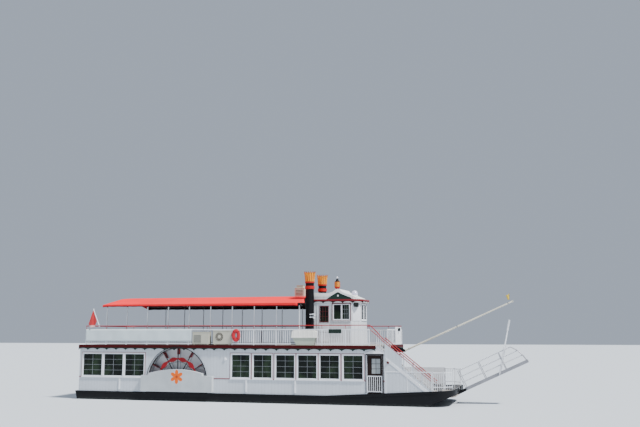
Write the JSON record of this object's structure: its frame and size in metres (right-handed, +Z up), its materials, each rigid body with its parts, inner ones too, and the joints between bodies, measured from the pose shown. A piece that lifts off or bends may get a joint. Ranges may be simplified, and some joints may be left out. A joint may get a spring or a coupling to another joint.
{
  "type": "paddle excursion boat",
  "caption": "Two-deck excursion paddle boat with a turning wheel let into each side, awning, pilothouse, twin funnels, hinged gangway and boom.",
  "frame": {"origin": "under the middle of the overall length and beam, on the underside of the flat hull", "axes": "+X along the hull towards the bow, +Y to port, +Z up"},
  "size_m": [26.9196, 6.46, 8.36],
  "materials": {
    "hull_paint": "semi-gloss paint",
    "house_paint": "satin paint on tongued boards",
    "rail_paint": "satin paint",
    "deck_boards": "weathered planks",
    "edge_paint": "gloss paint",
    "red_paint": "gloss paint",
    "casing_paint": "satin paint",
    "door_paint": "satin paint",
    "canopy_fabric": "matt awning cloth",
    "banner_fabric": "matt coated cloth",
    "flag_fabric": "matt cloth",
    "unit_paint": "satin paint",
    "funnel_paint": "satin paint",
    "finial_paint": "gloss paint",
    "spar_paint": "satin paint",
    "moulded_plastic": "moulded shell",
    "bare_alloy": "brushed alloy"
  },
  "bodies": {
    "boat": {"hull": "hull_paint", "main_deck": "deck_boards", "upper_deck": "deck_boards", "upper_deck_edge": "edge_paint", "house_wall_starboard": "house_paint", "house_wall_port": "house_paint", "house_wall_aft": "house_paint", "house_wall_front": "house_paint", "window_sashes_aft_starboard": "house_paint", "window_sashes_aft_port": "house_paint", "window_sashes_forward_starboard": "house_paint", "window_sashes_forward_port": "house_paint", "wheel_box_starboard": "house_paint", "wheel_box_port": "house_paint", "wheel_casing_starboard": "casing_paint", "wheel_casing_port": "casing_paint", "upper_rail_starboard": "rail_paint", "upper_rail_port": "rail_paint", "upper_rail_stern": "rail_paint", "upper_rail_front": "rail_paint", "handrail": "red_paint", "rail_banner": "banner_fabric", "stair": "rail_paint", "stair_side": "house_paint", "foredeck_rail_starboard": "rail_paint", "foredeck_rail_port": "rail_paint", "canopy_frame": "rail_paint", "canopy": "canopy_fabric", "roof_vent": "unit_paint", "funnel_starboard": "funnel_paint", "funnel_port": "funnel_paint", "pilothouse_wall_starboard": "house_paint", "pilothouse_wall_port": "house_paint", "pilothouse_wall_aft": "house_paint", "pilothouse_wall_front": "house_paint", "pilothouse_roof": "house_paint", "roof_finial": "finial_paint", "helm_console": "door_paint", "cooling_unit_aft": "unit_paint", "cooling_unit_forward": "unit_paint", "raft_box": "moulded_plastic", "lifebuoy": "moulded_plastic", "flagstaff": "rail_paint", "stern_flag": "flag_fabric", "boom_bracket": "hull_paint", "gangway_bracket": "hull_paint", "bow_winch": "bare_alloy", "mooring_bitts": "hull_paint"},
    "paddle_wheel_starboard": {"paddle_wheel_starboard": "red_paint"},
    "paddle_wheel_port": {"paddle_wheel_port": "red_paint"},
    "rudder_starboard": {"rudder_starboard": "hull_paint"},
    "rudder_port": {"rudder_port": "hull_paint"},
    "gangway": {"gangway": "bare_alloy"},
    "gangway_bail": {"gangway_bail": "rail_paint"},
    "boom": {"boom": "spar_paint"},
    "side_door_starboard": {"side_door_starboard": "door_paint"},
    "side_door_port": {"side_door_port": "door_paint"},
    "side_gate_starboard": {"side_gate_starboard": "rail_paint"},
    "side_gate_port": {"side_gate_port": "rail_paint"},
    "pilothouse_door": {"pilothouse_door": "house_paint"}
  },
  "joints": [
    {"name": "wheel_turn_starboard", "type": "hinge", "parent": "boat", "child": "paddle_wheel_starboard", "pos_m": [-6.7148, -2.685, 1.97], "axis": [0, 1, 0], "continuous": true},
    {"name": "wheel_turn_port", "type": "hinge", "parent": "boat", "child": "paddle_wheel_port", "pos_m": [-6.7148, 2.685, 1.97], "axis": [0, 1, 0], "continuous": true},
    {"name": "rudder_turn_starboard", "type": "hinge", "parent": "boat", "child": "rudder_starboard", "pos_m": [-12.4098, -1.5, 0.3], "axis": [0, 0, 1], "range_deg": [-35, 35]},
    {"name": "rudder_turn_port", "type": "hinge", "parent": "boat", "child": "rudder_port", "pos_m": [-12.4098, 1.5, 0.3], "axis": [0, 0, 1], "range_deg": [-35, 35]},
    {"name": "gangway_hinge", "type": "hinge", "parent": "boat", "child": "gangway", "pos_m": [9.9552, 0, 1.555], "axis": [0, 1, 0], "range_deg": [0, 34]},
    {"name": "bail_hinge", "type": "hinge", "parent": "gangway", "child": "gangway_bail", "pos_m": [11.8516, 0, 2.4336], "axis": [0, 1, 0], "range_deg": [-34, 0]},
    {"name": "boom_hinge", "type": "hinge", "parent": "boat", "child": "boom", "pos_m": [6.4232, 0, 3.693], "axis": [0, 1, 0], "range_deg": [-40, 4]},
    {"name": "door_hinge_starboard", "type": "hinge", "parent": "boat", "child": "side_door_starboard", "pos_m": [4.7622, -2.8817, 2.4], "axis": [0, 0, 1], "range_deg": [0, 90]},
    {"name": "door_hinge_port", "type": "hinge", "parent": "boat", "child": "side_door_port", "pos_m": [4.7622, 2.8817, 2.4], "axis": [0, 0, -1], "range_deg": [0, 90]},
    {"name": "gate_hinge_starboard", "type": "hinge", "parent": "boat", "child": "side_gate_starboard", "pos_m": [4.7812, -2.9583, 1.9], "axis": [0, 0, -1], "range_deg": [0, 90]},
    {"name": "gate_hinge_port", "type": "hinge", "parent": "boat", "child": "side_gate_port", "pos_m": [4.7812, 2.9583, 1.9], "axis": [0, 0, 1], "range_deg": [0, 90]},
    {"name": "pilothouse_door_hinge", "type": "hinge", "parent": "boat", "child": "pilothouse_door", "pos_m": [2.2262, -1.1583, 5], "axis": [0, 0, 1], "range_deg": [0, 100]}
  ],
  "couplings": [
    {"joint": "rudder_turn_port", "follows": "rudder_turn_starboard", "ratio": 1},
    {"joint": "bail_hinge", "follows": "gangway_hinge", "ratio": -1}
  ]
}
